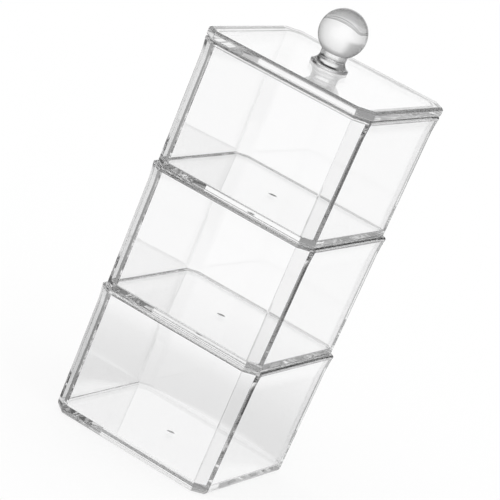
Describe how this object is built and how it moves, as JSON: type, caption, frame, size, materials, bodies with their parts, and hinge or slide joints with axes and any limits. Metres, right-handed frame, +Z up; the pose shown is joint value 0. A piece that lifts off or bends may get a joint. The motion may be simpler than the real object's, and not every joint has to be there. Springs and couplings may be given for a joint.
{
  "type": "stacking cotton pad box",
  "caption": "Clear stacking boxes for cotton pads: open square boxes with cut corners, each foot nesting in the mouth below, under a flat lid with a ball knob.",
  "frame": {"origin": "centre of the face that the stack stands on", "axes": "+Z up, the way each box and the lid lift off; +X and +Y across the flats of the square boxes, which are alike"},
  "size_m": [0.094, 0.094, 0.2323],
  "materials": {
    "clear_box": "polished clear moulded plastic",
    "clear_lid": "polished clear moulded plastic",
    "clear_knob": "polished clear moulded plastic"
  },
  "bodies": {
    "lower_box": {"lower_box": "clear_box"},
    "middle_box": {"middle_box": "clear_box"},
    "upper_box": {"upper_box": "clear_box"},
    "lid": {"lid": "clear_lid", "ball_knob": "clear_knob"}
  },
  "joints": [
    {"name": "middle_box_lift", "type": "slide", "parent": "lower_box", "child": "middle_box", "axis": [0, 0, 1], "range_m": [0, 0.1]},
    {"name": "upper_box_lift", "type": "slide", "parent": "middle_box", "child": "upper_box", "axis": [0, 0, 1], "range_m": [0, 0.1]},
    {"name": "lid_lift", "type": "slide", "parent": "upper_box", "child": "lid", "axis": [0, 0, 1], "range_m": [0, 0.1]}
  ]
}
